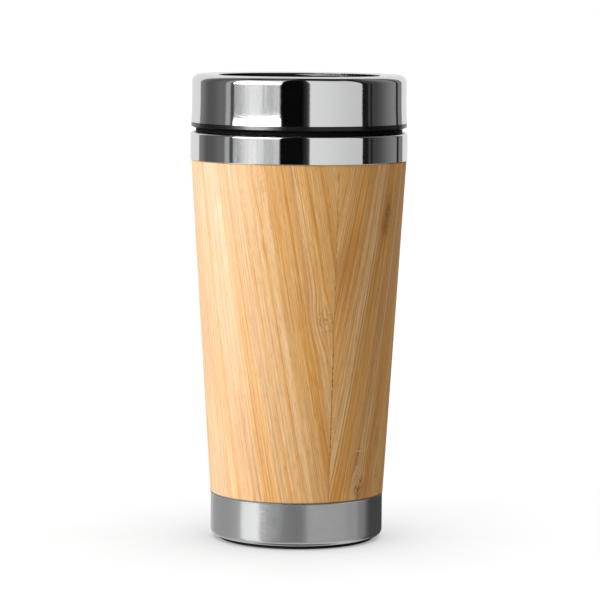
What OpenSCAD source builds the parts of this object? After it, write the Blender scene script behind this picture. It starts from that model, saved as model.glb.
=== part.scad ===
// Drinking tumbler: a double-walled steel cup wrapped in bamboo veneer, with a twist-on lid and a sliding
// closure.
// Millimetres. Z is the axis of the cup, 0 is the table, and -Y is the front.

/* [Cup] */
// Outer diameter of the polished collar, the widest place
collar_d = 86; // [82:0.5:92]
// Height of the collar
collar_h = 11; // [8:0.5:16]
// Outer diameter of the veneer at its lower edge
sleeve_foot_d = 69; // [64:0.5:76]
// How far the collar stands out from the veneer's upper edge
collar_step = 0.35; // [0.3:0.05:1]
// Height from the base's lip up to the collar, which the veneer covers
sleeve_h = 132.5; // [100:0.5:160]
// Thickness of the bamboo veneer
veneer = 0.7; // [0.6:0.1:1.5]
// Width of the butt seam where the two ends of the veneer meet
seam_gap = 0.25; // [0.1:0.05:0.6]
// Place of the seam, in degrees to the right of the front
seam_angle = 21.5; // [-180:0.5:180]
// Height of the brushed base cup
base_h = 17; // [12:0.5:24]
// How far the foot pad stands out below the base cup
pad_proud = 1.4; // [0.8:0.1:2.5]
// Sheet thickness of the cup, the shell, the base and the lid cover
steel = 0.5; // [0.4:0.1:0.6]
// Gap between the inner cup and the outer shell
wall_gap = 3.1; // [2:0.1:4.5]
// Height of the straight threaded neck inside the mouth
neck_h = 12.4; // [10:0.2:18]
// Gap from the floor of the inner cup down to the bottom plate
floor_gap = 5.5; // [3:0.5:10]

/* [Lid] */
// Height of the polished cover
cover_h = 18.9; // [16:0.1:26]
// Radius of the cover's rounded top edge
cover_round = 3; // [2:0.1:4]
// Width of the steel rim round the recess, from the cover's side
rim_w = 10.4; // [9:0.1:12]
// Depth of the recess below the rim
recess_depth = 8; // [7:0.2:11]
// Where the closed lid's drinking hole stands, in degrees to the right of the front
lid_angle = 35; // [-180:1:180]
// Height of the black flange below the cover
flange_h = 2.3; // [1.8:0.1:4]
// Height of the pressed seal between the cup's lip and the flange
seal_h = 1.6; // [1.2:0.1:3]
// Depth of the plug inside the cup's neck
plug_depth = 11.4; // [9:0.2:12]
// Room between plug and neck, which the threads share
thread_room = 1.3; // [1:0.1:1.6]
// Wall and floor thickness of the lid's mouldings
moulding = 1.8; // [1.4:0.1:2.4]

/* [Closure] */
// Length of the drinking hole, across the lid
hole_l = 16; // [10:0.5:18]
// Width of the drinking hole, along the slide
hole_w = 7; // [5:0.5:8]
// Diameter of the vent
vent_d = 3; // [2:0.2:4]
// Width of the slider over its two flanges
slider_w = 22; // [21:0.5:26]
// Travel of the slider from shut to open
slider_travel = 13; // [11:0.5:15]
// Thickness of the slider's flanges
slider_t = 1.4; // [1:0.1:2]
// Width of the raised thumb grip, across the slide
grip_w = 12.5; // [9:0.5:15]
// Length of the thumb grip, along the slide
grip_l = 14; // [10:0.5:15]
// How far the thumb grip stands above the lid's rim
grip_proud = 0.3; // [0:0.1:1.5]
// Number of cross grooves in the thumb grip
grip_grooves = 4; // [2:1:6]

/* [Hidden] */
$fn = 128;
arc_steps = 8;
cut = 1;                 // how far a cutting shape runs past the face it cuts

// Fits and small edges
glue = 0.1;              // glue line under the veneer
fit = 0.1;               // radial fit of pieces that are pressed or welded together
hairline = 0.1;          // open line where two visible edges meet
running = 0.3;           // gap between pieces that move past each other
edge = 0.25;             // broken edges of sheet and mouldings

// Foot and base cup
pad_inset = 1.0;         // from the base cup's flat bottom in to the pad
pad_seat = 0.6;          // depth of the pressed seat that holds the pad
pad_relief = 0.5;        // hollow in the pad's middle, so that it stands on its rim
pad_ring_w = 7;          // width of the ring that touches the table
base_round = 2.3;        // radius of the base cup's bottom edge
lip_flare = 0.28;        // how far the base cup's lip flares out under the veneer
lip_flare_h = 0.9;
collar_round = 0.8;      // radius of the collar's top edge

// Inner cup and shell
cup_round = 6;           // radius between the inner cup's wall and floor
mouth_round = 1;         // radius of the drinking edge
floor_step_h = 0.8;      // pressed rise in the middle of the inner cup's floor
floor_step_w = 9;        // from the wall's curve in to that rise
plate_rim_h = 2.4;       // height of the bottom plate's welded rim
plate_up = 2.2;          // from the base cup's floor up to the shell's lower edge

// Lid
cover_inset = 0.6;       // from the collar's side in to the cover's side
cover_flare = 0.35;      // how far the cover's foot flares out
cover_flare_h = 10;
cover_flare_share = 0.4; // part of the flare's width that is left at half its height
flange_inset = 0.3;      // from the collar's side in to the flange's side
flange_bevel_w = 1.6;
flange_bevel_h = 0.7;
roll = 0.9;              // radius of the rim's inner edge
seal_inset = 2.1;        // from the collar's side in to the seal
seal_lip_h = 1;          // seal's bead inside the mouth
plug_recess = 1.5;       // plug's floor above the plug's lower edge
fin_count = 8;
fin_t = 1.2;
fin_clear = 0.2;

// Closure
hole_wall = 3.1;         // from the recess wall to the drinking hole
seal_margin = 1.5;       // seal's overlap round the drinking hole
seal_t = 1.1;
seal_proud = 0.1;        // seal's reach below the slider's face
slider_lift = 0.2;       // slider's face above the recess floor
slider_back_h = 1.9;     // slider's back above its flanges
slider_tail = 4;         // from the lid's axis to the slider's inner end, when shut
flange_grip = 1.8;       // width of slider flange held under each rail
rail_t = 1.6;
rail_lip_t = 1.2;
rail_open = 3;           // from the rails' outer end to the drinking hole
stop_t = 1.8;
grip_margin = 1.2;       // grip's set-back from the slider's inner end
grip_fall = 0.4;         // how far the grip's top falls towards the drinking side
grip_lean = 0.8;         // lean of the grip's two end faces
groove_w = 1;
groove_depth = 0.5;
slider_wall = 1.4;       // wall round the hollow under the grip
vent_set = 8;            // from the recess wall to the vent
slider_round = 1.5;      // corner radius of the slider's inner end

// Heights
base_z = pad_proud;
base_top = base_z + base_h;
collar_z = base_top + sleeve_h;
rim_z = collar_z + collar_h;
flange_z = rim_z + seal_h;
cover_z = flange_z + flange_h;
top_z = cover_z + cover_h;
deck_z = top_z - recess_depth;                 // recess floor
shell_z = base_z + pad_seat + steel + plate_up; // lower edge of the shell
shell_top = rim_z - steel - hairline;
sleeve_top = collar_z - hairline;
plate_z = shell_z + plate_rim_h;               // top of the bottom plate
cup_z = plate_z + floor_gap;                   // underside of the inner cup
neck_z = rim_z - neck_h;
plug_z = rim_z - plug_depth;

// Radii of the cup
collar_r = collar_d / 2;
sleeve_top_r = collar_r - collar_step;
sleeve_foot_r = sleeve_foot_d / 2;
shell_foot_r = sleeve_foot_r - veneer - glue;
shell_top_r = sleeve_top_r - veneer - glue;
base_r = shell_foot_r + fit + steel;
pad_seat_r = base_r - base_round - pad_inset + fit;
pad_r = pad_seat_r - fit;
collar_in = shell_top_r + fit;
neck_r = shell_top_r - steel - wall_gap - steel;
cup_foot_r = shell_foot_r - steel - wall_gap - steel;

// Radii of the lid
cover_r = collar_r - cover_inset;
cover_foot_r = cover_r + cover_flare;
cover_mid_r = cover_r + cover_flare * cover_flare_share;
recess_r = cover_r - rim_w;
flange_r = collar_r - flange_inset;
seal_r = collar_r - seal_inset;
plug_r = neck_r - thread_room;
plug_in = plug_r - moulding;
tube_in = plug_r + fit;
tube_r = tube_in + moulding;

// Closure, measured from the lid's axis towards the drinking side
hole_y = recess_r - hole_wall - hole_w / 2;
slider_end_r = recess_r - running;
slider_z = deck_z + slider_lift;
rail_in = slider_w / 2 + running;
back_w = slider_w - 2 * flange_grip - 2 * running;
rail_end = hole_y - hole_w / 2 - rail_open;
stop_y = slider_tail - slider_travel - running;
rail_lip_z = slider_z + slider_t + slider_lift;
back_z = slider_z + slider_t + slider_back_h;
grip_z = top_z + grip_proud;
grip_y = slider_tail + grip_margin;

// Points along an arc, from angle a to angle b
function arc(r, z, radius, a, b) =
    [for (i = [0 : arc_steps])
        let (t = a + (b - a) * i / arc_steps) [r + radius * cos(t), z + radius * sin(t)]];

module lathe(points) rotate_extrude() polygon(points);

// A slot with round ends, its length along X
module slot(length, width) {
    square([length - width, width], center = true);
    for (side = [-1, 1])
        translate([side * (length - width) / 2, 0]) circle(d = width);
}

// Turns shapes that are drawn with the drinking side at +Y to the place where the closed lid has it
module drinking_side() rotate([0, 0, 180 + lid_angle]) children();

module at_hole(z) translate([0, hole_y, z]) children();
module at_vent(z) translate([0, vent_set - recess_r, z]) children();

// Moulded rubber disc in the base cup's seat. It stands on its outer ring.
module foot_pad() {
    ring = pad_r - pad_ring_w;
    color("#151515") lathe([
        [0, pad_relief], [ring - pad_relief, pad_relief], [ring, 0],
        [pad_r - edge, 0], [pad_r, edge], [pad_r, base_z + pad_seat], [0, base_z + pad_seat]]);
}

// Deep-drawn cup pressed over the shell's lower end, with a flared lip that meets the veneer
module base_cup() {
    in_r = base_r - steel;
    color("#a9abad") lathe(concat(
        [[0, base_z + pad_seat], [pad_seat_r, base_z + pad_seat], [pad_seat_r, base_z]],
        arc(base_r - base_round, base_z + base_round, base_round, -90, 0),
        [[base_r, base_top - lip_flare_h], [base_r + lip_flare, base_top - hairline],
         [in_r + lip_flare, base_top - hairline], [in_r, base_top - lip_flare_h]],
        arc(base_r - base_round, base_z + base_round, base_round - steel, 0, -90),
        [[pad_seat_r + steel, base_z + steel], [pad_seat_r + steel, base_z + pad_seat + steel],
         [0, base_z + pad_seat + steel]]));
}

// Shallow pan welded into the shell's lower end
module shell_bottom() {
    r = shell_foot_r - steel - fit;
    color("#b9bbbd") lathe(concat(
        [[r - steel, shell_z], [r, shell_z]],
        arc(r - steel - edge, plate_z - steel - edge, steel + edge, 0, 90),
        [[0, plate_z], [0, plate_z - steel], [r - steel - edge, plate_z - steel],
         [r - steel, plate_z - steel - edge]]));
}

// Tapered outer wall with a straight foot for the base cup and a straight top inside the collar
module outer_shell() {
    color("#b4b6b8") lathe([
        [shell_foot_r, shell_z], [shell_foot_r, base_top], [shell_top_r, sleeve_top],
        [shell_top_r, shell_top], [shell_top_r - steel, shell_top], [shell_top_r - steel, sleeve_top],
        [shell_foot_r - steel, base_top], [shell_foot_r - steel, shell_z]]);
}

// Drawn liner: flat lip, rounded drinking edge, straight neck, tapered wall, and a floor with a pressed rise
module inner_cup() {
    floor_z = cup_z + steel;
    wall_z = floor_z + cup_round;
    step_r = cup_foot_r - cup_round - floor_step_w;
    color("#c8cacc") lathe(concat(
        [[0, cup_z + floor_step_h], [step_r, cup_z + floor_step_h], [step_r + floor_step_h, cup_z]],
        arc(cup_foot_r - cup_round, wall_z, cup_round + steel, -90, 0),
        [[neck_r + steel, neck_z]],
        arc(neck_r + mouth_round, rim_z - mouth_round, mouth_round - steel, 180, 90),
        [[shell_top_r, rim_z - steel], [shell_top_r, rim_z]],
        arc(neck_r + mouth_round, rim_z - mouth_round, mouth_round, 90, 180),
        [[neck_r, neck_z]],
        arc(cup_foot_r - cup_round, wall_z, cup_round, 0, -90),
        [[step_r + floor_step_h, floor_z], [step_r, floor_z + floor_step_h], [0, floor_z + floor_step_h]]));
}

// Polished ring pressed over the top of the shell, its lower edge covering the veneer's end
module collar_ring() {
    color("#d0d2d4") lathe(concat(
        [[collar_in, collar_z], [collar_r - edge, collar_z], [collar_r, collar_z + edge]],
        arc(collar_r - collar_round, rim_z - collar_round, collar_round, 0, 90),
        [[collar_in, rim_z]]));
}

// One flat piece of bamboo veneer wrapped round the cone, its ends meeting in a butt seam
module bamboo_sleeve() {
    foot_in = sleeve_foot_r - veneer;
    color("#dcae6b") difference() {
        lathe([
            [sleeve_foot_r - edge, base_top], [sleeve_foot_r, base_top + edge],
            [sleeve_top_r, sleeve_top], [sleeve_top_r - veneer, sleeve_top], [foot_in, base_top]]);
        rotate([0, 0, seam_angle - 90])
            translate([0, -seam_gap / 2, base_top - cut])
                cube([collar_r + cut, seam_gap, sleeve_top - base_top + 2 * cut]);
    }
}

// Silicone ring under the flange, with a bead that centres it in the mouth
module lid_gasket() {
    bead_r = neck_r - running;
    bead_z = rim_z - seal_lip_h;
    color("#101010") lathe([
        [plug_r + running, bead_z], [bead_r - edge, bead_z], [bead_r, bead_z + edge], [bead_r, rim_z],
        [seal_r - edge, rim_z], [seal_r, rim_z + edge], [seal_r, flange_z - edge],
        [seal_r - edge, flange_z], [plug_r + running, flange_z]]);
}

// Lower moulding of the double-walled lid: skirt, floor, drinking duct and vent duct
module lid_plug() {
    floor_z = plug_z + plug_recess;
    duct_top = deck_z - moulding;
    color("#1b1b1b") difference() {
        union() {
            lathe([
                [0, floor_z], [plug_in, floor_z], [plug_in, plug_z], [plug_r - edge, plug_z],
                [plug_r, plug_z + edge], [plug_r, duct_top], [plug_in, duct_top],
                [plug_in, floor_z + moulding], [0, floor_z + moulding]]);
            drinking_side() {
                at_hole(floor_z) linear_extrude(duct_top - floor_z)
                    slot(hole_l + 2 * moulding, hole_w + 2 * moulding);
                at_vent(floor_z) cylinder(d = vent_d + 2 * moulding, h = duct_top - floor_z);
            }
        }
        drinking_side() {
            at_hole(floor_z - cut) linear_extrude(duct_top - floor_z + 2 * cut) slot(hole_l, hole_w);
            at_vent(floor_z - cut) cylinder(d = vent_d, h = duct_top - floor_z + 2 * cut);
        }
    }
}

// One hooked rail at the side of the slider, drawn at +X
module rail() {
    length = rail_end - stop_y;
    translate([rail_in, stop_y, deck_z - edge])
        cube([rail_t, length, rail_lip_z + rail_lip_t - deck_z + edge]);
    translate([rail_in - flange_grip, stop_y, rail_lip_z])
        cube([flange_grip + rail_t, length, rail_lip_t]);
}

// Space inside the cover, which the fins fill
module cover_space() {
    r = cover_r - steel - fin_clear;
    lathe(concat(
        [[0, flange_z], [r, flange_z]],
        arc(cover_r - cover_round, top_z - cover_round, cover_round - steel - fin_clear, 0, 90),
        [[0, top_z - steel - fin_clear]]));
}

// Upper moulding of the lid: bevelled flange, tube over the plug, recess with its rails, and fins behind
// the cover
module lid_body() {
    wall_top = top_z - steel - fin_clear;
    lip_z = top_z - roll - fin_clear;              // ledge below the cover's turned-in edge
    lip_r = recess_r + steel + fin_clear;
    wall_r = lip_r + moulding;
    color("#181818") difference() {
        union() {
            lathe(concat(
                [[tube_in, flange_z], [flange_r - flange_bevel_w, flange_z],
                 [flange_r, flange_z + flange_bevel_h], [flange_r, cover_z], [tube_r, cover_z],
                 [tube_r, deck_z], [wall_r, deck_z], [wall_r, wall_top]],
                arc(recess_r + roll, top_z - roll, roll - steel - fin_clear, 90, 180),
                [[lip_r, lip_z], [recess_r, lip_z], [recess_r, deck_z], [0, deck_z],
                 [0, deck_z - moulding], [tube_in, deck_z - moulding]]));
            intersection() {
                cover_space();
                difference() {
                    for (i = [0 : fin_count - 1])
                        rotate([0, 0, (i + 0.5) * 360 / fin_count])
                            translate([0, -fin_t / 2, cover_z - edge])
                                cube([cover_r, fin_t, top_z - cover_z]);
                    translate([0, 0, flange_z]) cylinder(r = tube_r - edge, h = deck_z - flange_z);
                    translate([0, 0, flange_z]) cylinder(r = wall_r - edge, h = top_z - flange_z);
                }
            }
            drinking_side() {
                for (side = [0, 1]) mirror([side, 0, 0]) rail();
                translate([-rail_in - rail_t, stop_y - stop_t, deck_z - edge])
                    cube([2 * (rail_in + rail_t), stop_t, rail_lip_z + rail_lip_t - deck_z + edge]);
            }
        }
        drinking_side() {
            at_hole(deck_z - moulding - cut) linear_extrude(moulding + 2 * cut) slot(hole_l, hole_w);
            at_vent(deck_z - moulding - cut) cylinder(d = vent_d, h = moulding + 2 * cut);
        }
    }
}

// Polished cover spun from one sheet: flared foot, rounded edge, flat rim and a rolled edge into the recess
module lid_cover() {
    flare_z = cover_z + cover_flare_h;
    mid_z = cover_z + cover_flare_h / 2;
    color("#d6d8da") lathe(concat(
        [[cover_foot_r, cover_z], [cover_mid_r, mid_z], [cover_r, flare_z]],
        arc(cover_r - cover_round, top_z - cover_round, cover_round, 0, 90),
        arc(recess_r + roll, top_z - roll, roll, 90, 180),
        arc(recess_r + roll, top_z - roll, roll - steel, 180, 90),
        arc(cover_r - cover_round, top_z - cover_round, cover_round - steel, 90, 0),
        [[cover_r - steel, flare_z], [cover_mid_r - steel, mid_z], [cover_foot_r - steel, cover_z]]));
}

// Outline of a slider part of that width, its outer end following the recess wall
module slider_outline(width, end_r) {
    tail = slider_tail + slider_round;
    intersection() {
        circle(r = end_r);
        union() {
            translate([-width / 2, tail]) square([width, end_r]);
            translate([slider_round - width / 2, slider_tail]) square([width - 2 * slider_round, end_r]);
            for (side = [-1, 1])
                translate([side * (width / 2 - slider_round), tail]) circle(r = slider_round);
        }
    }
}

// Side view of the thumb grip, standing on height foot and drawn in by the given wall
module grip_profile(foot, wall) {
    polygon([
        [grip_y + wall, foot], [grip_y + wall, back_z], [grip_y + grip_lean + wall, grip_z - wall],
        [grip_y + grip_l - grip_lean - wall, grip_z - grip_fall - wall], [grip_y + grip_l - wall, back_z],
        [grip_y + grip_l - wall, foot]]);
}

// Extrudes a side view over that width, its first axis along the slide and its second one up
module across(width) {
    translate([-width / 2, 0, 0]) rotate([90, 0, 90]) linear_extrude(width) children();
}

// Thumb grip: a block that leans in at both ends and falls towards the drinking side, with cross grooves
module thumb_grip() {
    slope = grip_fall / grip_l;
    pitch = grip_l / (grip_grooves + 1);
    across(grip_w) difference() {
        grip_profile(back_z - edge, 0);
        for (i = [1 : grip_grooves])
            translate([grip_y + i * pitch - groove_w / 2, grip_z - i * pitch * slope - groove_depth])
                square([groove_w, groove_depth + cut]);
    }
}

// Sliding closure: a plate with flanges under the rails, a raised back and a thumb grip, hollow from below
module slider() {
    pocket_l = hole_l + 2 * seal_margin;
    pocket_w = hole_w + 2 * seal_margin;
    color("#202020") drinking_side() difference() {
        union() {
            translate([0, 0, slider_z]) linear_extrude(slider_t) slider_outline(slider_w, slider_end_r);
            translate([0, 0, slider_z]) linear_extrude(back_z - slider_z)
                slider_outline(back_w, slider_end_r);
            thumb_grip();
        }
        across(grip_w - 2 * slider_wall) grip_profile(slider_z - cut, slider_wall);
        at_hole(slider_z - cut) linear_extrude(cut + seal_t - seal_proud) slot(pocket_l, pocket_w);
    }
}

// Silicone pad in the slider's underside, over the drinking hole when shut
module slider_seal() {
    color("#2b2b2b") drinking_side() at_hole(slider_z - seal_proud)
        linear_extrude(seal_t) slot(hole_l + 2 * seal_margin - 2 * fit, hole_w + 2 * seal_margin - 2 * fit);
}

foot_pad();
base_cup();
shell_bottom();
outer_shell();
inner_cup();
collar_ring();
bamboo_sleeve();
lid_gasket();
lid_plug();
lid_body();
lid_cover();
slider();
slider_seal();
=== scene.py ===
import math

import bmesh
import bpy
from mathutils import Matrix, Vector


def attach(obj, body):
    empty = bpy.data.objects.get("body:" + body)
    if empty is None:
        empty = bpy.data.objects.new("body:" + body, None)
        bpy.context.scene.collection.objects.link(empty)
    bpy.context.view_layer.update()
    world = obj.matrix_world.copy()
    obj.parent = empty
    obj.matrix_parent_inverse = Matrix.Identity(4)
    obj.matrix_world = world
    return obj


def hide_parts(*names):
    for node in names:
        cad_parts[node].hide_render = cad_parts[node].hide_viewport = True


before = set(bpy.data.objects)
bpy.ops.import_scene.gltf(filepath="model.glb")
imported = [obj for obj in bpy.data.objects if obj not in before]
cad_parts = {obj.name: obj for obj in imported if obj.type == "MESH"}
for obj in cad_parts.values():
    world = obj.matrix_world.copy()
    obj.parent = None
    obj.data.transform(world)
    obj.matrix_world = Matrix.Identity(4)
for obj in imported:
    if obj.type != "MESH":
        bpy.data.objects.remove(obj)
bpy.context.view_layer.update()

# Camera.
# A long lens just above the height of the lid. It is tipped down by less than six degrees and rolled by
# less than half a degree.
camera_place = Vector((0.00087, -1.215, 0.2167))
camera_tip = math.radians(5.72)
camera_roll = math.radians(0.436)
camera = bpy.data.objects.new("camera", bpy.data.cameras.new("camera"))
bpy.context.scene.collection.objects.link(camera)
bpy.context.scene.camera = camera
camera.data.sensor_width = 36
camera.data.lens = 183.9
camera.data.clip_start = 0.05
camera.data.clip_end = 60
level = Vector((1, 0, 0))
steep = Vector((0, math.sin(camera_tip), math.cos(camera_tip)))
camera_right = level * math.cos(camera_roll) + steep * math.sin(camera_roll)
camera_up = steep * math.cos(camera_roll) - level * math.sin(camera_roll)
camera_back = camera_right.cross(camera_up)
camera_turn = Matrix((camera_right, camera_up, camera_back)).transposed().to_4x4()
camera.matrix_world = Matrix.Translation(camera_place) @ camera_turn


# Studio.
# A white table and backdrop, one large soft key light on the left, white and black panels round the object,
# which only polished surfaces mirror, and an even fill from the white room.
def add(tree, kind, inputs=None, **settings):
    """A shader node with its settings and inputs; an input is a value or another node's socket."""
    node = tree.nodes.new("ShaderNode" + kind)
    for name, value in settings.items():
        setattr(node, name, value)
    for name, value in (inputs or {}).items():
        if isinstance(value, bpy.types.NodeSocket):
            tree.links.new(value, node.inputs[name])
        else:
            node.inputs[name].default_value = value
    return node


def calc(tree, operation, *values, clamp=False):
    """The result of one sum on sockets or numbers."""
    return add(tree, "Math", dict(enumerate(values)), operation=operation, use_clamp=clamp).outputs[0]


def times(tree, *values):
    """All the values multiplied."""
    result = values[0]
    for value in values[1:]:
        result = calc(tree, "MULTIPLY", result, value)
    return result


def total(tree, *values):
    """All the values added."""
    result = values[0]
    for value in values[1:]:
        result = calc(tree, "ADD", result, value)
    return result


def fade(tree, value, start, end, low=0.0, high=1.0, smooth=True):
    """low where value is at start, high where it is at end, and between them an even or an eased change."""
    node = add(tree, "MapRange", {
        "Value": value, "From Min": start, "From Max": end, "To Min": low, "To Max": high})
    node.interpolation_type = "SMOOTHSTEP" if smooth else "LINEAR"
    return node.outputs["Result"]


def panels(tree, angle, first, edges):
    """A level that steps at each edge: its place and half its blur in degrees, and the level after it."""
    result, before = first, first
    for place, blur, after in edges:
        result = total(tree, result, fade(tree, angle, place - blur, place + blur, 0.0, after - before))
        before = after
    return result


def mix(tree, share, a, b):
    """a where share is 0 and b where it is 1, for numbers."""
    return add(tree, "Mix", {0: share, 2: a, 3: b}, data_type="FLOAT").outputs[0]


def tint(tree, share, dark, light):
    """A colour between dark and light."""
    node = add(tree, "Mix", {0: share, 6: (*dark, 1), 7: (*light, 1)}, data_type="RGBA")
    return node.outputs[2]


def build_world():
    """White to the camera, panels round the object to mirrors, and an even fill to matt surfaces."""
    world = bpy.data.worlds.new("studio")
    bpy.context.scene.world = world
    world.use_nodes = True
    world.cycles.sampling_method = "NONE"
    tree = world.node_tree
    tree.nodes.clear()

    # Angles in degrees: to the right of the camera, above the level, and over the object from the camera
    way = add(tree, "SeparateXYZ", {0: add(tree, "TexCoord").outputs["Generated"]}).outputs
    towards_camera = times(tree, way["Y"], -1.0)
    to_right = calc(tree, "DEGREES", calc(tree, "ARCTAN2", way["X"], towards_camera))
    height = calc(tree, "DEGREES", calc(tree, "ARCSINE", way["Z"]))
    over = calc(tree, "DEGREES", calc(tree, "ARCTAN2", way["Z"], towards_camera))

    # Panels that the lid and the collar mirror
    round_lid = panels(tree, to_right, 0.78, [
        (-132, 1.5, 0.22), (-121, 8, 0.10), (-98, 8, 0.15), (-85, 1.5, 0.40), (-78.5, 0.9, 0.08),
        (-73.8, 1.0, 1.15), (-20.8, 1.8, 0.003), (5.5, 3.0, 0.03), (9, 1.5, 0.08), (11.2, 1.0, 0.78),
        (40, 30, 0.62), (70.7, 0.7, 0.012), (78.7, 0.7, 0.055), (81.5, 0.7, 0.015), (84.3, 0.7, 0.055),
        (106, 20, 0.24), (126.6, 0.7, 0.02), (131.6, 0.8, 0.21), (143, 1.2, 0.78)])

    # The key: a white softbox on the left that fades towards its head, with a dim, uneven sheet at its foot
    key_left, key_right, key_foot, key_head = (-75.5, -74), (-18, -23), (2.2, 3.4), (42, 24)
    key_level = 5.0
    key_panel = times(tree, fade(tree, to_right, *key_left), fade(tree, to_right, *key_right))
    weave = add(tree, "CombineXYZ", {"X": times(tree, to_right, 0.35), "Y": times(tree, height, 18.0)})
    uneven = add(tree, "TexNoise", {"Vector": weave.outputs[0], "Scale": 1.0}).outputs[0]
    dimmed = panels(tree, to_right, 0.62, [(-61, 11, 0.22), (-39, 10, 0.55), (-27.5, 1.5, 0.46)])
    dimmed = total(tree, dimmed, fade(tree, uneven, 0.35, 0.65, -0.40, 0.40))
    under_key = times(tree, key_panel, dimmed, fade(tree, height, 3.4, 1.0))
    round_lid = times(tree, round_lid, calc(tree, "SUBTRACT", 1.0, under_key))
    softbox = times(tree, key_panel, fade(tree, height, *key_foot, 0.0, key_level))
    round_lid = total(tree, round_lid, times(tree, softbox, fade(tree, height, *key_head)))
    top_of_key = fade(tree, height, 36, 78, 1.0, 0.03, smooth=False)
    round_lid = times(tree, round_lid, mix(tree, key_panel, 1.0, top_of_key))

    # Panels that the base mirrors lower down, the table below them, darker straight down as a painted
    # shadow under the object, and the dark ceiling above
    round_base = panels(tree, to_right, 0.56, [
        (-150, 12, 0.38), (-95, 12, 0.44), (-79.5, 2.5, 1.0), (-50.5, 2.5, 0.42), (-38, 12, 0.25),
        (-12, 10, 0.24), (14, 4, 0.38), (91, 3, 0.26), (108, 8, 0.06)])
    sides = mix(tree, fade(tree, height, -4.0, -6.5), round_lid, round_base)
    # Painted shadow: the mirrored table darkens straight down, where it lies in the object's shade.
    table = fade(tree, height, -55.0, -70.0, 0.6, 0.12)
    sides = mix(tree, fade(tree, height, -26.0, -50.0), sides, table)
    ceiling = times(tree, fade(tree, over, 54.0, 72.0), fade(tree, over, 114.0, 103.0))
    ceiling = times(tree, ceiling, fade(tree, height, 44.0, 60.0))
    mirrored = mix(tree, ceiling, sides, mix(tree, key_panel, 0.015, 0.14))

    # What each kind of ray meets
    white_room = 1.0
    fill = fade(tree, height, -30, 30, 0.46, 0.37)
    path = add(tree, "LightPath").outputs
    unseen = mix(tree, path["Is Glossy Ray"], fill, mirrored)
    strength = mix(tree, path["Is Camera Ray"], unseen, white_room)
    warm = tint(tree, path["Is Diffuse Ray"], (1, 1, 1), (1.04, 1.0, 0.96))
    surface = add(tree, "Background", {"Color": warm, "Strength": strength})
    add(tree, "OutputWorld", {"Surface": surface.outputs[0]})


def build_table():
    """A table that glows white as painted light and darkens, as painted shadow, only where the object
    stands in the way of the open room.
    """
    radius, segments, shadow_reach = 6.0, 96, 0.8
    grey, white_from, darkest_painted_shadow = 0.07, 0.93, 0.22
    mesh = bpy.data.meshes.new("table")
    form = bmesh.new()
    bmesh.ops.create_circle(form, cap_ends=True, segments=segments, radius=radius)
    form.to_mesh(mesh)
    form.free()
    table = bpy.data.objects.new("table", mesh)
    bpy.context.scene.collection.objects.link(table)
    table.visible_glossy = table.visible_diffuse = False
    material = bpy.data.materials.new("table_painted_light")
    material.use_nodes = True
    tree = material.node_tree
    shader = tree.nodes["Principled BSDF"]
    shader.inputs["Base Color"].default_value = (grey, grey, grey, 1)
    shader.inputs["Roughness"].default_value = 0.9
    shader.inputs["Specular IOR Level"].default_value = 0.0
    # Painted light and shadow: the table glows white, dimmed where the object hides the open room from it.
    open_sky = add(tree, "AmbientOcclusion", {"Distance": shadow_reach}, samples=8).outputs["AO"]
    painted_light_and_shadow = fade(tree, open_sky, 0.0, white_from, darkest_painted_shadow, 1.0, smooth=False)
    shader.inputs["Emission Color"].default_value = (1, 1, 1, 1)
    tree.links.new(painted_light_and_shadow, shader.inputs["Emission Strength"])
    mesh.materials.append(material)


def lamp(name, energy, width, side, height, colour=(1, 1, 1)):
    """A distant lamp that wide, that far to the right of the camera and that high, all in degrees."""
    data = bpy.data.lights.new(name, "SUN")
    data.energy = energy
    data.color = colour
    data.angle = math.radians(width)
    light = bpy.data.objects.new(name, data)
    bpy.context.scene.collection.objects.link(light)
    side, height = math.radians(side), math.radians(height)
    across, up = math.cos(height), math.sin(height)
    towards = Vector((math.sin(side) * across, -math.cos(side) * across, up))
    light.rotation_euler = towards.to_track_quat("Z", "Y").to_euler()
    return light


def build_key():
    """The key lamp, and the collection of the pieces that it leaves out."""
    key = lamp("key", energy=2.36, width=34, side=-48, height=24, colour=(0.98, 1.0, 0.99))
    left_out = bpy.data.collections.new("not lit by the key")
    key.light_linking.receiver_collection = left_out
    return left_out


def build_sheen(piece, energy, side, height):
    """A light on the left that only this piece's surface mirrors, as a soft pale sheen."""
    sheen = lamp("sheen", energy, width=50, side=side, height=height)
    sheen.visible_diffuse = False
    only = bpy.data.collections.new("lit by the sheen")
    only.objects.link(piece)
    sheen.light_linking.receiver_collection = only


def keep_key_off(piece):
    """The key is a panel that polished steel mirrors in the world, so its lamp leaves these pieces out."""
    off_steel.objects.link(piece)
    for member in off_steel.collection_objects:
        member.light_linking.link_state = "EXCLUDE"


build_world()
build_table()
off_steel = build_key()
bpy.context.scene.view_settings.view_transform = "Standard"


# Foot pad.
# A moulded disc of black rubber with a fine matt grain. It is glued into the base's pressed seat and stands
# on its outer ring.
MM = 0.001


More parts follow.
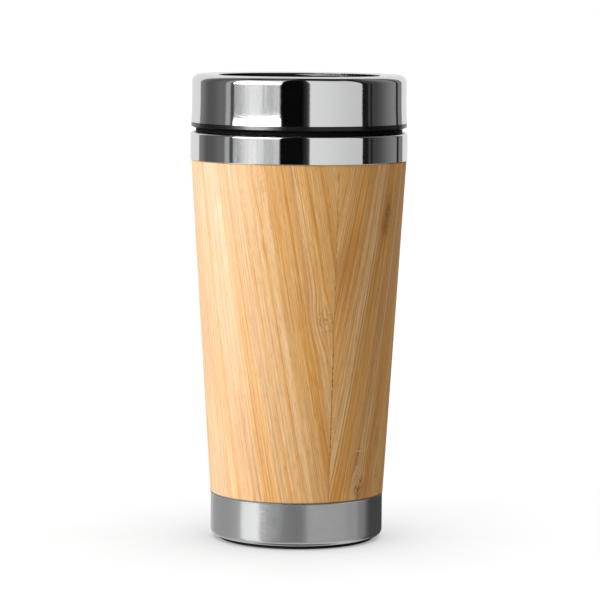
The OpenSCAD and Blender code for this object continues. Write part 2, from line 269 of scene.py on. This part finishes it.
def rounded(corners, steps=6):
    """An outline from corners, each with r, z and its radius in mm. Short edges hold the flats flat."""
    shortest = 0.25
    count = len(corners)
    at = [Vector((r, z)) for r, z, radius in corners]
    radii = [radius for r, z, radius in corners]
    reach, ways = [], []
    for i, radius in enumerate(radii):
        back, on = (at[i - 1] - at[i]).normalized(), (at[(i + 1) % count] - at[i]).normalized()
        ways.append((back, on))
        reach.append(radius / math.tan(back.angle(on) / 2) if radius else 0.0)
    outline = []
    for i, radius in enumerate(radii):
        back, on = ways[i]
        following = (i + 1) % count
        if not radius:
            outline.append(at[i])
            continue
        room_back = (at[i - 1] - at[i]).length - reach[i] - reach[i - 1]
        room_on = (at[following] - at[i]).length - reach[i] - reach[following]
        centre = at[i] + (back + on).normalized() * radius / math.sin(back.angle(on) / 2)
        start, end = at[i] + back * reach[i] - centre, at[i] + on * reach[i] - centre
        first = math.atan2(start.y, start.x)
        sweep = (math.atan2(end.y, end.x) - first + math.pi) % (2 * math.pi) - math.pi
        outline.append(centre + start + back * min(shortest, max(room_back, 0) / 3))
        for k in range(steps + 1):
            angle = first + sweep * k / steps
            outline.append(centre + Vector((math.cos(angle), math.sin(angle))) * radius)
        outline.append(centre + end + on * min(shortest, max(room_on, 0) / 3))
    return outline


def finish_mesh(name, form, sharp=35):
    """A smooth object from a bmesh, with edges kept sharp where faces meet at more than that angle."""
    bmesh.ops.recalc_face_normals(form, faces=form.faces)
    mesh = bpy.data.meshes.new(name)
    form.to_mesh(mesh)
    form.free()
    mesh.polygons.foreach_set("use_smooth", [True] * len(mesh.polygons))
    mesh.set_sharp_from_angle(angle=math.radians(sharp))
    piece = bpy.data.objects.new(name, mesh)
    bpy.context.scene.collection.objects.link(piece)
    return piece


def round_axis(r, angle, z):
    """A point at that distance from the cup's axis, in metres; r and z are in mm."""
    return r * MM * math.cos(angle), r * MM * math.sin(angle), z * MM


def lathe(name, outline, steps=240):
    """A closed outline of r, z points in mm, turned about the cup's axis."""
    form = bmesh.new()
    rings = []
    for r, z in outline:
        if r < 1e-6:
            rings.append([form.verts.new((0, 0, z * MM))] * steps)
        else:
            rings.append([form.verts.new(round_axis(r, 2 * math.pi * k / steps, z)) for k in range(steps)])
    for low, high in zip(rings, rings[1:] + rings[:1]):
        for k in range(steps):
            corners = []
            for vertex in (low[k], low[(k + 1) % steps], high[(k + 1) % steps], high[k]):
                if vertex not in corners:
                    corners.append(vertex)
            if len(corners) > 2:
                form.faces.new(corners)
    return finish_mesh(name, form)


def make_material(name, colour, roughness, metallic=0.0):
    """A new material with its node tree and its shader."""
    material = bpy.data.materials.new(name)
    material.use_nodes = True
    shader = material.node_tree.nodes["Principled BSDF"]
    shader.inputs["Base Color"].default_value = (*colour, 1)
    shader.inputs["Roughness"].default_value = roughness
    shader.inputs["Metallic"].default_value = metallic
    return material, material.node_tree, shader


def place(tree, across, up):
    """The surface's own place, scaled across the axis and along it, to stretch a grain round the piece."""
    here = add(tree, "TexCoord").outputs["Object"]
    scaled = add(tree, "VectorMath", {0: here, 1: (across, across, up)}, operation="MULTIPLY")
    return scaled.outputs["Vector"]


def noise(tree, vector, detail=2.0, roughness=0.5, **settings):
    """Soft noise with cells about one unit wide."""
    inputs = {"Vector": vector, "Scale": 1.0, "Detail": detail, "Roughness": roughness}
    return add(tree, "TexNoise", inputs, **settings).outputs[0]


def bump(tree, height, distance, normal=None):
    """A surface normal tilted by that height, which is distance metres high at 1."""
    inputs = {"Height": height, "Distance": distance, "Strength": 1.0}
    if normal:
        inputs["Normal"] = normal
    return add(tree, "Bump", inputs).outputs[0]


def rubber_material():
    """Matt black rubber with a fine grain, and paler where dust lies on it."""
    black, dusty = (0.004, 0.004, 0.004), (0.008, 0.008, 0.0075)
    grains_a_metre, specks_a_metre, grain_height = 5200, 240, 0.00002
    material, tree, shader = make_material("rubber_black", black, 0.62)
    grain = noise(tree, place(tree, grains_a_metre, grains_a_metre), 3.0)
    dust = noise(tree, place(tree, specks_a_metre, specks_a_metre), 4.0)
    tree.links.new(tint(tree, dust, black, dusty), shader.inputs["Base Color"])
    shader.inputs["Specular IOR Level"].default_value = 0.12
    tree.links.new(fade(tree, grain, 0.3, 0.7, 0.52, 0.72), shader.inputs["Roughness"])
    tree.links.new(bump(tree, grain, grain_height), shader.inputs["Normal"])
    return material


pad_r, pad_top, pad_round = 31.0, 2.0, 0.3
ring_r, hollow = 24.0, 0.5
foot = lathe("foot_rubber", rounded([
    (0, hollow, 0), (ring_r - 0.5, hollow, pad_round), (ring_r, 0, pad_round), (pad_r, 0, pad_round),
    (pad_r, pad_top, 0), (0, pad_top, 0)]))
foot.data.materials.append(rubber_material())
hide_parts("foot_pad")
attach(foot, "cup")


# Base cup.
# A shallow cup of stainless steel sheet, brushed round its axis, with a small rounding at the foot and a
# lip that flares out under the veneer. It is pressed over the lower end of the shell.
def from_axis(tree, here):
    """How far a place lies from the cup's axis."""
    squares = [calc(tree, "POWER", here[side], 2.0) for side in ("X", "Y")]
    return calc(tree, "SQRT", total(tree, *squares))


def steel_material(name, colour, roughness, lines, tilt, smear=0.0, across=260.0):
    """Stainless steel with its lines per metre along the axis and across it, and their height in metres."""
    scratches_across, cloud_across, cloud_up = 55.0, 45, 90
    material, tree, shader = make_material(name, colour, roughness, metallic=1.0)
    here = add(tree, "SeparateXYZ", {0: add(tree, "TexCoord").outputs["Object"]}).outputs
    along = total(tree, here["Z"], from_axis(tree, here))

    def strokes(wide, per_metre, detail, edge=0.5):
        """Noise drawn out round the axis."""
        vector = add(tree, "CombineXYZ", {
            "X": times(tree, here["X"], wide), "Y": times(tree, here["Y"], wide),
            "Z": times(tree, along, per_metre)}).outputs[0]
        return noise(tree, vector, detail, edge)

    fine = strokes(across, lines, 3.0, 0.6)
    scratch = fade(tree, strokes(scratches_across, lines * 1.7, 1.0), 0.66, 0.74)
    cloud = noise(tree, place(tree, cloud_across, cloud_up), 3.0)
    shade = total(tree, times(tree, fine, 0.5), times(tree, cloud, 0.5))
    darker = tuple(c * 0.93 for c in colour)
    tree.links.new(tint(tree, shade, darker, colour), shader.inputs["Base Color"])
    rough = total(
        tree, fade(tree, fine, 0.3, 0.7, roughness * 0.75, roughness * 1.25), times(tree, scratch, 0.015),
        fade(tree, cloud, 0.35, 0.75, 0.0, roughness * 0.15))
    tree.links.new(rough, shader.inputs["Roughness"])
    relief = calc(tree, "SUBTRACT", fine, times(tree, scratch, 0.05))
    tree.links.new(bump(tree, relief, tilt), shader.inputs["Normal"])
    if smear:
        shader.inputs["Anisotropic"].default_value = smear
        shader.inputs["Anisotropic Rotation"].default_value = 0.25
        along_lines = add(tree, "Tangent", direction_type="RADIAL", axis="Z").outputs[0]
        tree.links.new(along_lines, shader.inputs["Tangent"])
    return material


steel = 0.5
base_r, base_foot, base_top, base_round = 34.3, 1.4, 18.3, 2.2
base_in = base_r - steel
base_lip_h, base_lip_out, base_lip_in = 0.3, 0.25, 0.22
seat_r, seat_z, press_round = 31.1, 2.0, 0.2
brushed = steel_material(
    "steel_brushed", (0.76, 0.765, 0.77), roughness=0.165, lines=5200, tilt=0.000002, smear=0.3)
base = lathe("base_steel", rounded([
    (0, seat_z, 0), (seat_r, seat_z, press_round), (seat_r, base_foot, press_round),
    (base_r, base_foot, base_round), (base_r, base_top - base_lip_h, press_round),
    (base_r + base_lip_out, base_top, 0.04), (base_in + base_lip_in, base_top, 0.1),
    (base_in, base_top - 0.5, 0.5), (base_in, base_foot + steel, base_round - steel),
    (seat_r + steel, base_foot + steel, press_round), (seat_r + steel, seat_z + steel, press_round),
    (0, seat_z + steel, 0)], steps=8))
base.data.materials.append(brushed)
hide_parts("base_cup")
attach(base, "cup")
keep_key_off(base)


# Shell, its bottom plate and the inner cup.
# Drawn from stainless sheet and welded together round a closed gap that keeps the drink warm. They have a
# plain satin finish, and only the inner cup shows, when the lid is off.
plain = steel_material(
    "steel_plain", (0.66, 0.665, 0.67), roughness=0.3, lines=3200, tilt=0.000004, smear=0.3)
for name in ("outer_shell", "shell_bottom"):
    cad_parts[name].material_slots[0].material = plain
    keep_key_off(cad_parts[name])

lip_z, lip_r = 161.9, 41.85
neck_r, neck_foot, neck_round = 37.75, 149.5, 8
floor_r, floor_z, floor_round = 29.6, 12.6, 6.0
step_r, step_h, step_round = 15.4, 0.8, 0.4
liner = lathe("inner_cup_steel", rounded([
    (0, floor_z + step_h, 0), (step_r - step_h, floor_z + step_h, step_round),
    (step_r, floor_z, step_round), (floor_r + steel, floor_z, floor_round + 0.4),
    (neck_r + steel, neck_foot, neck_round), (neck_r + steel, lip_z - steel, 0.5),
    (lip_r, lip_z - steel, 0), (lip_r, lip_z, 0), (neck_r, lip_z, 1.0),
    (neck_r, neck_foot, neck_round), (floor_r, floor_z + steel, floor_round),
    (step_r, floor_z + steel, step_round), (step_r - step_h, floor_z + step_h + steel, step_round),
    (0, floor_z + step_h + steel, 0)], steps=8))
liner.data.materials.append(plain)
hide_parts("inner_cup")
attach(liner, "cup")
keep_key_off(liner)


# Collar ring.
# A turned ring of stainless steel with a mirror polish and a rounded top edge. It is pressed over the top
# of the shell, and the veneer ends right below it.
mirror = (0.87, 0.875, 0.88)
polished = steel_material(
    "steel_polished", mirror, roughness=0.04, lines=1300, tilt=0.0000052, across=420.0)
collar_r, collar_bore, collar_foot = 43.0, 41.95, 150.9
collar = lathe("collar_steel", rounded([
    (collar_bore, collar_foot, 0.1), (collar_r, collar_foot, 0.2), (collar_r, lip_z, 0.8),
    (collar_bore, lip_z, 0)], steps=8))
collar.data.materials.append(polished)
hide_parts("collar_ring")
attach(collar, "cup")
keep_key_off(collar)


# Bamboo sleeve.
# One piece of sliced bamboo veneer, cut from a flat sheet and glued round the cone, so its straight grain
# leans to both sides of the butt seam. Narrow slats of different tone lie side by side, with node scars.
sleeve_foot = Vector((34.5, 18.4))
sleeve_head = Vector((42.65, 150.8))
seam_side = 21.5
map_mm = 100  # in one unit of the map
lean = math.atan((sleeve_head.x - sleeve_foot.x) / (sleeve_head.y - sleeve_foot.y))


def on_sheet(side, z):
    """Where a point of the sleeve lies on the flat sheet, in mm: across the grain and along it."""
    up = (z - sleeve_foot.y) / (sleeve_head.y - sleeve_foot.y)
    slant = (sleeve_foot.x + (sleeve_head.x - sleeve_foot.x) * up) / math.sin(lean)
    turn = math.radians((side - seam_side) % 360 - 180) * math.sin(lean)
    return slant * math.sin(turn), slant * math.cos(turn)


def build_sleeve():
    """The veneer with its butt seam, and the map named sheet with each point's place on the flat sheet."""
    steps, rows = 300, 26
    thick, gap, edge, mean_r, just_off = 0.7, 0.04, 0.2, 38, 0.001
    face = [sleeve_foot.lerp(sleeve_head, i / rows) for i in range(rows + 1)]
    outline = [(face[0].x - edge, face[0].y), (face[0].x - edge * 0.3, face[0].y + edge * 0.3),
               (face[0].x, face[0].y + edge), (face[0].x + 0.02, face[0].y + edge + 0.3)]
    outline += [(p.x, p.y) for p in face[1:]] + [(p.x - thick, p.y) for p in reversed(face)]
    form = bmesh.new()
    flat = form.loops.layers.uv.new("sheet")

    def lay(loop, side, z):
        """Put one corner of a face on the map."""
        x, y = on_sheet(side, z)
        loop[flat].uv = (x / map_mm, y / map_mm)

    half_gap = math.degrees(gap / 2 / mean_r)
    columns, sides = [], []
    for k in range(steps + 1):
        side = seam_side + half_gap + (360 - 2 * half_gap) * k / steps
        a = math.radians(side) - math.pi / 2
        columns.append([form.verts.new(round_axis(r, a, z)) for r, z in outline])
        sides.append(side)
    count = len(outline)
    for k in range(steps):
        for i in range(count):
            j = (i + 1) % count
            quad = form.faces.new((columns[k][i], columns[k + 1][i], columns[k + 1][j], columns[k][j]))
            for loop, (column, row) in zip(quad.loops, ((k, i), (k + 1, i), (k + 1, j), (k, j))):
                side = min(max(sides[column], seam_side + just_off), seam_side + 360 - just_off)
                lay(loop, side, outline[row][1])
    for column, side in ((columns[0], sides[0]), (columns[-1], sides[-1])):
        end = form.faces.new(column)
        for loop, (r, z) in zip(end.loops, outline):
            lay(loop, side, z)
    return finish_mesh("sleeve_bamboo", form, sharp=50)


def bamboo_material():
    """Sliced bamboo on the flat sheet, worked out in the units of its map."""
    cream, honey, ochre = (0.85, 0.56, 0.27), (0.83, 0.46, 0.125), (0.79, 0.375, 0.055)
    thread, fibre, pale_tick = (0.80, 0.33, 0.035), (0.52, 0.20, 0.03), (0.86, 0.66, 0.4)
    scar, bark, raw_edge_and_painted_shadow = (0.27, 0.09, 0.015), (0.36, 0.15, 0.03), (0.12, 0.055, 0.02)
    material, tree, shader = make_material("bamboo", honey, 0.58)
    sheet = add(tree, "UVMap", uv_map="sheet").outputs[0]

    def grain(wide, long, detail=2.0, roughness=0.5, shift=(0.0, 0.0), base=None):
        """Noise stretched along the fibres, its cells that wide and long, in mm."""
        vector = add(tree, "VectorMath", {
            0: base or straight, 1: (map_mm / wide, map_mm / long, 0), 2: (*shift, 0)},
            operation="MULTIPLY_ADD").outputs["Vector"]
        return noise(tree, vector, detail, roughness, noise_dimensions="2D")

    def away_from(side, z, wide, long):
        """Distance from a place on the sleeve, in radii of an oval round it; sizes in mm."""
        x, y = on_sheet(side, z)
        away = add(tree, "VectorMath", {0: sheet, 1: (x / map_mm, y / map_mm, 0)}, operation="SUBTRACT")
        away = add(tree, "VectorMath", {0: away.outputs["Vector"], 1: (map_mm / wide, map_mm / long, 0)},
                   operation="MULTIPLY")
        return add(tree, "VectorMath", {0: away.outputs["Vector"]}, operation="LENGTH").outputs["Value"]

    def spot(side, z, wide, long, strength):
        """That strength in the middle of the oval, falling to 0 at its rim."""
        return times(tree, fade(tree, away_from(side, z, wide, long), 1.0, 0.0), strength)

    def strip(x, width, blur):
        """1 inside a strip of the sheet that lies that far across it, in mm, and 0 beside it."""
        off = calc(tree, "ABSOLUTE", calc(tree, "SUBTRACT", across, x / map_mm))
        return fade(tree, off, (width / 2 + blur) / map_mm, max(width / 2 - blur, 0) / map_mm)

    def paint(under, share, colour):
        """A colour laid over another."""
        return add(tree, "Mix", {0: share, 6: under, 7: (*colour, 1)}, data_type="RGBA").outputs[2]

    def slat(width, chance):
        """A random tone for each slat of about that width."""
        cells = add(tree, "TexVoronoi", {
            "W": times(tree, across, map_mm / width), "Scale": 1.0, "Randomness": chance},
            voronoi_dimensions="1D").outputs["Color"]
        return add(tree, "SeparateColor", {0: cells}).outputs[0]

    # Node scars, each with its side, height, width, length and strength: the fibres part round it
    scars = [
        (16.2, 90.5, 3.2, 6.5, 0.6), (45.0, 23.8, 3.1, 5.2, 1.3), (61.2, 42, 2.2, 4.4, 0.4),
        (41.5, 33.5, 2.4, 4.6, 0.5), (64.0, 27.5, 2.0, 4.0, 0.6), (-20.7, 145, 2.2, 7.0, 0.3),
        (-17.7, 119.4, 1.4, 3.0, 0.25), (148, 70, 2.8, 5, 0.7), (-118, 104, 2.4, 5, 0.7),
        (-160, 40, 3, 5, 0.8), (100, 118, 2.4, 4.5, 0.6)]
    flat = add(tree, "SeparateXYZ", {0: sheet}).outputs
    wander = times(tree, calc(tree, "SUBTRACT", grain(26, 210, 2.0, base=sheet), 0.5), 0.022)
    bends, knots, halos, nearest = [wander], [], [], None
    for side, z, wide, long, strength in scars:
        x, y = on_sheet(side, z)
        away = away_from(side, z, wide, long)
        near = fade(tree, away, 2.4, 0.5)
        bends.append(times(tree, near, times(tree, calc(tree, "SUBTRACT", x / map_mm, flat["X"]), 0.55)))
        knots.append(times(tree, fade(tree, away, 1.35, 0.45), strength))
        halos.append(times(tree, near, strength))
        nearest = calc(tree, "MINIMUM", nearest, away) if nearest else away
    knot, halo = total(tree, *knots), total(tree, *halos)
    bend = add(tree, "CombineXYZ", {"X": total(tree, *bends)}).outputs[0]
    straight = add(tree, "VectorMath", {0: sheet, 1: bend}, operation="ADD").outputs["Vector"]
    across = add(tree, "SeparateXYZ", {0: straight}).outputs["X"]

    # Slats and streaks from cream to ochre; a strip has its place, its width and how much darker it is
    strips = [
        (71.5, 2.0, 0.22), (75.5, 4.5, -0.12), (80.2, 3.0, -0.22), (83.7, 1.6, 0.22), (90.2, 3.0, -0.16),
        (95.8, 4.2, -0.20), (100.9, 1.6, -0.2), (110.2, 0.9, 0.26), (114.5, 3.0, -0.15),
        (-110.3, 2.2, -0.24), (-105.2, 5.0, 0.16), (-120, 4.0, 0.14), (-96, 2.5, -0.18),
        (-101.0, 1.2, 0.2), (-91.5, 1.5, 0.16)]
    streaks = fade(tree, grain(1.15, 130, 2.0, 0.6, (3.1, 1.7)), 0.3, 0.7)
    fibres = fade(tree, grain(0.55, 75, 2.0, 0.6, (9.1, 4.7)), 0.3, 0.7)
    hairs = fade(tree, grain(0.27, 26, 2.0, 0.65, (7.3, 5.1)), 0.28, 0.72)
    slow = fade(tree, grain(14, 60, 1.0, 0.5, (2.2, 6.1)), 0.35, 0.65, 0.4, 1.0)
    tones = [times(tree, strip(x, width, min(0.2, width * 0.2)), shade * 1.4) for x, width, shade in strips]
    tones += [times(tree, layer, weight) for layer, weight in (
        (slat(5.0, 0.8), 0.15), (times(tree, slat(1.9, 0.9), slow), 0.30), (slat(0.8, 1.0), 0.20),
        (grain(3.2, 190), 0.22), (streaks, 0.22), (fibres, 0.34), (hairs, 0.36), (halo, -0.10))]
    ramp = add(tree, "ValToRGB", {"Fac": total(tree, *tones, -0.45)})
    stops = ramp.color_ramp.elements
    stops[0].position, stops[0].color = 0.10, (*cream, 1)
    stops[1].position, stops[1].color = 0.90, (*ochre, 1)
    middle = stops.new(0.50)
    middle.color = (*honey, 1)

    # Orange threads, fewer right of the seam, brown pencil lines, short fine lines and a few single veins
    gather = fade(tree, grain(8, 240, 1.0, 0.5, (1.0, 8.0)), 0.35, 0.65, 0.3, 1.0)
    threads = fade(tree, grain(0.55, 95, 1.0, 0.5, (13.0, 6.0)), 0.56, 0.62, 0.0, 0.85)
    threads = times(tree, threads, gather, fade(tree, across, -0.70, -0.95, 1.0, 0.45))
    pencil = fade(tree, grain(0.62, 150, 1.0, 0.4, (11.0, 2.0)), 0.60, 0.65, 0.0, 0.55)
    thin = fade(tree, grain(0.34, 60, 1.0, 0.4, (5.0, 9.0)), 0.60, 0.68, 0.0, 0.46)
    dashes = fade(tree, grain(0.26, 5.0, 1.0, 0.5, (2.0, 4.0)), 0.62, 0.72, 0.0, 0.4)
    lines = times(tree, calc(tree, "MAXIMUM", pencil, thin), gather)
    # A vein has its place, its width and its strength
    veins = [
        (99.2, 0.45, 0.6), (105.0, 0.4, 0.45), (89.0, 0.4, 0.3), (93.3, 0.35, 0.35), (110.9, 0.35, 0.4),
        (-108.8, 0.5, 0.75), (-107.4, 0.4, 0.4), (-98.5, 0.4, 0.4), (-93.0, 0.4, 0.35)]
    worn = fade(tree, grain(0.8, 26, 2.0, 0.6, (8.0, 3.0)), 0.3, 0.6, 0.25, 1.0)
    for x, width, shade in veins:
        lines = calc(tree, "MAXIMUM", lines, times(tree, strip(x, width, 0.15), shade, worn))
    lines = calc(tree, "MAXIMUM", lines, dashes, clamp=True)
    colour = paint(paint(ramp.outputs[0], threads, thread), lines, fibre)

    # Fine grain and slats that deepen the colour, in its blue part most
    fuzz = fade(tree, grain(0.30, 9.0, 2.0, 0.7, (15.0, 3.0)), 0.27, 0.73)
    pores = fade(tree, grain(0.75, 40, 2.0, 0.6, (4.0, 12.0)), 0.32, 0.68)
    broad = slat(2.7, 0.9)
    depth = total(tree, times(tree, fuzz, 0.40), times(tree, pores, 0.26), times(tree, broad, 0.34))
    deepened = tint(tree, depth, (0.75, 0.61, 0.48), (1.15, 1.20, 1.29))
    colour = add(tree, "VectorMath", {0: colour, 1: deepened}, operation="MULTIPLY").outputs["Vector"]

    # Scars, stains, and a short pale line with dark hooked lines beside it at the lower right
    swirl = grain(1.4, 2.6, 2.0, 0.6, (4.0, 4.0), sheet)
    curl = total(tree, times(tree, nearest, 1.7), times(tree, swirl, 2.6))
    curl = fade(tree, calc(tree, "PINGPONG", curl, 0.5), 0.24, 0.5)
    scarred = calc(tree, "MULTIPLY", knot, total(tree, times(tree, curl, 0.75), 0.12), clamp=True)
    colour = paint(colour, scarred, scar)
    smear = total(tree, spot(57.0, 130.0, 4.4, 16.0, 1.3), spot(56.4, 132.5, 1.8, 4.5, 0.7),
                  spot(54.8, 125.3, 1.8, 3.6, 0.6), spot(52.4, 101.8, 0.8, 0.9, 1.3))
    dotted = fade(tree, grain(0.5, 1.1, 2.0, 0.6, (6.0, 1.0)), 0.38, 0.62, 0.35, 0.8)
    colour = paint(colour, calc(tree, "MULTIPLY", smear, dotted, clamp=True), bark)
    colour = paint(colour, spot(26.5, 110.0, 7.0, 30.0, 0.55), fibre)
    colour = paint(colour, spot(-17.0, 115.0, 0.8, 7.0, 0.45), thread)
    colour = paint(colour, spot(-19.3, 124.8, 1.8, 2.4, 0.4), cream)
    colour = paint(colour, spot(43.3, 38.4, 2.3, 0.45, 0.8), pale_tick)
    hooked = fade(tree, grain(0.5, 2.0, 0.0, 0.5, (1.5, 2.5)), 0.45, 0.6)
    hooks = times(tree, spot(43.3, 37.3, 2.4, 0.9, 1.0), hooked)
    hooks = calc(tree, "MAXIMUM", hooks, spot(43.3, 39.0, 2.5, 0.3, 0.6))
    colour = paint(colour, times(tree, hooks, 0.7), scar)

    # Butt seam: a tight, broken line that shows best in its lower third; and at the foot a dark line, the
    # veneer's raw edge with a painted shadow where it meets the base
    mean_slant = 640.0
    turn = calc(tree, "ABSOLUTE", calc(tree, "ARCTAN2", flat["X"], flat["Y"]))
    reach = times(tree, calc(tree, "SUBTRACT", math.pi * math.sin(lean), turn), mean_slant)
    broken = fade(tree, grain(900, 1.6, 2.0, 0.6, base=sheet), 0.42, 0.62, 0.3, 1.0)
    from_head = fade(tree, flat["Y"], 6.22, 5.98, 0.35, 0.9)
    from_foot = fade(tree, flat["Y"], 5.60, 5.74, 0.35, 1.0)
    seam = times(tree, fade(tree, reach, 0.34, 0.1), broken, times(tree, from_head, from_foot))
    colour = paint(colour, seam, raw_edge_and_painted_shadow)
    up = add(tree, "SeparateXYZ", {0: add(tree, "TexCoord").outputs["Object"]}).outputs["Z"]
    # Painted shadow with the raw edge: the lowest few tenths of a millimetre of veneer are darkened where
    # they meet the base's lip.
    colour = paint(colour, fade(tree, up, 0.0191, 0.0187, 0.0, 0.75), raw_edge_and_painted_shadow)
    tree.links.new(colour, shader.inputs["Base Color"])
    rough = total(tree, fade(tree, hairs, 0.3, 0.7, 0.52, 0.64), times(tree, lines, 0.1))
    tree.links.new(rough, shader.inputs["Roughness"])
    relief = total(
        tree, times(tree, hairs, 0.5), times(tree, streaks, 0.6), times(tree, lines, -0.7),
        times(tree, scarred, -1.0), times(tree, seam, -2.0))
    tree.links.new(bump(tree, relief, 0.00005), shader.inputs["Normal"])
    return material


sleeve = build_sleeve()
sleeve.data.materials.append(bamboo_material())
build_sheen(sleeve, energy=20.0, side=-96, height=12)
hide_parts("bamboo_sleeve")
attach(sleeve, "cup")


# Lid gasket.
# A moulded ring of black silicone with a soft, slightly dusty surface. It sits under the lid's flange and
# seals on the cup's lip.
def silicone_material(name, colour):
    """Soft silicone, paler and rougher where dust clings to it."""
    specks_a_metre, grains_a_metre, grain_height = 420, 1500, 0.00002
    material, tree, shader = make_material(name, colour, 0.55)
    dust = noise(tree, place(tree, specks_a_metre, specks_a_metre), 4.0, 0.6)
    grain = noise(tree, place(tree, grains_a_metre, grains_a_metre), 2.0)
    light = tuple(c * 1.8 for c in colour)
    tree.links.new(tint(tree, dust, colour, light), shader.inputs["Base Color"])
    tree.links.new(fade(tree, dust, 0.3, 0.7, 0.45, 0.66), shader.inputs["Roughness"])
    tree.links.new(bump(tree, grain, grain_height), shader.inputs["Normal"])
    shader.inputs["Specular IOR Level"].default_value = 0.04
    return material


gasket_bore, bead_r, bead_h = 36.75, 37.45, 1.0
seal_r, seal_top, seal_round = 40.9, 163.5, 0.35
gasket = lathe("gasket_silicone", rounded([
    (gasket_bore, lip_z - bead_h, 0.1), (bead_r, lip_z - bead_h, 0.25), (bead_r, lip_z, 0.15),
    (seal_r, lip_z, seal_round), (seal_r, seal_top, seal_round), (gasket_bore, seal_top, 0.1)]))
gasket.data.materials.append(silicone_material("silicone_black", (0.003, 0.003, 0.003)))
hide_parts("lid_gasket")
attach(gasket, "seal")


# Lid plug, lid body and slider.
# Glossy injection mouldings of black plastic, whose upright walls lean by the mould's draft. The plug is
# welded under the body, and the slider clips under the body's rails.
def moulding_material(name, colour, roughness):
    """Glossy plastic with a fine grain and wipe marks; its outer walls look drafted and its edges soft."""
    grains_a_metre, wipes_a_metre, grain_height = 2400, 60, 0.000012
    draft_angle, edge_round = math.radians(3.0), 0.0003
    material, tree, shader = make_material(name, colour, roughness)
    grain = noise(tree, place(tree, grains_a_metre, grains_a_metre), 2.0, 0.6)
    wipe = noise(tree, place(tree, wipes_a_metre, wipes_a_metre), 3.0, 0.55)
    light = tuple(c * 1.5 + 0.002 for c in colour)
    tree.links.new(tint(tree, wipe, colour, light), shader.inputs["Base Color"])
    rough = total(tree, fade(tree, grain, 0.3, 0.7, roughness * 0.85, roughness * 1.15),
                  fade(tree, wipe, 0.4, 0.7, 0.0, 0.08))
    tree.links.new(rough, shader.inputs["Roughness"])
    soft_edge = add(tree, "Bevel", {"Radius": edge_round}, samples=4).outputs[0]
    here = add(tree, "SeparateXYZ", {0: add(tree, "TexCoord").outputs["Object"]}).outputs
    outside = fade(tree, from_axis(tree, here), 0.0345, 0.0365, 0.0, -1.0)
    draft = bump(tree, times(tree, here["Z"], outside), math.tan(draft_angle), soft_edge)
    tree.links.new(bump(tree, grain, grain_height, draft), shader.inputs["Normal"])
    shader.inputs["Specular IOR Level"].default_value = 0.3
    return material


lid_black = moulding_material("moulding_black", (0.006, 0.006, 0.0065), 0.16)
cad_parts["lid_plug"].material_slots[0].material = lid_black
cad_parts["lid_body"].material_slots[0].material = lid_black
build_sheen(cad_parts["lid_body"], energy=9.0, side=-47, height=24)
slider_black = moulding_material("slider_black", (0.01, 0.01, 0.0105), 0.16)
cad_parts["slider"].material_slots[0].material = slider_black
grey_silicone = silicone_material("silicone_grey", (0.03, 0.03, 0.03))
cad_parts["slider_seal"].material_slots[0].material = grey_silicone


# Lid cover.
# Spun from one sheet of stainless steel and mirror polished, with a slight flare at the foot, a rounded
# shoulder, a rim that falls a little towards the recess, and a folded edge that grips the moulding there.
def cover_outline():
    """The cover's section in mm, from its flared foot up the outside and back down the inside."""
    wall_r, wall_foot, flare_h, flare = 42.4, 165.8, 10, 0.32
    crown_h, crown, step = 5, 0.02, 0.5
    top_z, shoulder_round = 184.7, 3.0
    rim_r, rim_round, recess_r, rim_fall, fold_z = 38.4, 12, 32.0, 0.25, 184.09
    crown_foot, crowned = wall_foot + flare_h, wall_r - crown
    lower = [(wall_r + flare * (1 - k * step / flare_h) ** 2, wall_foot + k * step)
             for k in range(round(flare_h / step) + 1)]
    upper = [(wall_r - crown * (k * step / crown_h) ** 2, crown_foot + k * step)
             for k in range(1, round(crown_h / step) + 1)]
    shoulder = rounded([
        (crowned, 181.0, 0), (crowned, top_z, shoulder_round), (rim_r, top_z, rim_round),
        (recess_r, top_z - rim_fall, 0.03), (recess_r + 0.3, fold_z, 0)], steps=14)[1:]
    inside = rounded([
        (recess_r + 0.6, fold_z, 0), (rim_r, top_z - steel, 0),
        (wall_r - steel, top_z - steel, shoulder_round - steel), (wall_r - steel, 172.0, 0)], steps=10)
    return [Vector(p) for p in lower + upper] + shoulder + inside + [Vector((wall_r - 0.2, wall_foot))]


spun = steel_material("steel_spun", mirror, roughness=0.035, lines=1600, tilt=0.0000085, across=520.0)
cover = lathe("cover_steel", cover_outline(), steps=300)
cover.data.materials.append(spun)
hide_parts("lid_cover")
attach(cover, "lid")
keep_key_off(cover)


# Threads.
# Four starts of a right-handed thread: ribs rolled into the cup's neck and ribs moulded on the plug, which
# pass each other with half a pitch between them.
thread_starts, thread_rise, rib_foot = 4, 12.0, 1.3
half_pitch = math.pi / thread_starts


def build_thread(name, core, tip, low, high, turn):
    """Ribs of a helix between two heights, from their core to their tip radius, the first one turned."""
    steps_a_turn, run_in, least_swell = 120, 8, 0.05
    form = bmesh.new()
    steps = round((high - low) / thread_rise * steps_a_turn)
    section = [(core, -rib_foot / 2), (tip, -rib_foot / 5), (tip, rib_foot / 5), (core, rib_foot / 2)]
    for start in range(thread_starts):
        rings = []
        for k in range(steps + 1):
            share = k / steps
            swell = max(min(1.0, run_in * share, run_in * (1 - share)), least_swell)
            z = low + (high - low) * share
            a = turn + 2 * math.pi * (start / thread_starts + (z - low) / thread_rise)
            ring = [(core + (r - core) * swell, z + dz) for r, dz in section]
            rings.append([form.verts.new(round_axis(r, a, up)) for r, up in ring])
        for near, far in zip(rings, rings[1:]):
            for i in range(4):
                j = (i + 1) % 4
                form.faces.new((near[i], far[i], far[j], near[j]))
        form.faces.new(rings[0])
        form.faces.new(rings[-1][::-1])
    return finish_mesh(name, form, sharp=30)


neck_thread = build_thread("neck_thread", core=37.81, tip=36.97, low=151.2, high=158.6, turn=0.0)
neck_thread.data.materials.append(plain)
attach(neck_thread, "cup")
keep_key_off(neck_thread)
plug_thread = build_thread("plug_thread", core=36.39, tip=37.23, low=151.6, high=158.8, turn=half_pitch)
plug_thread.data.materials.append(lid_black)
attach(plug_thread, "lid")
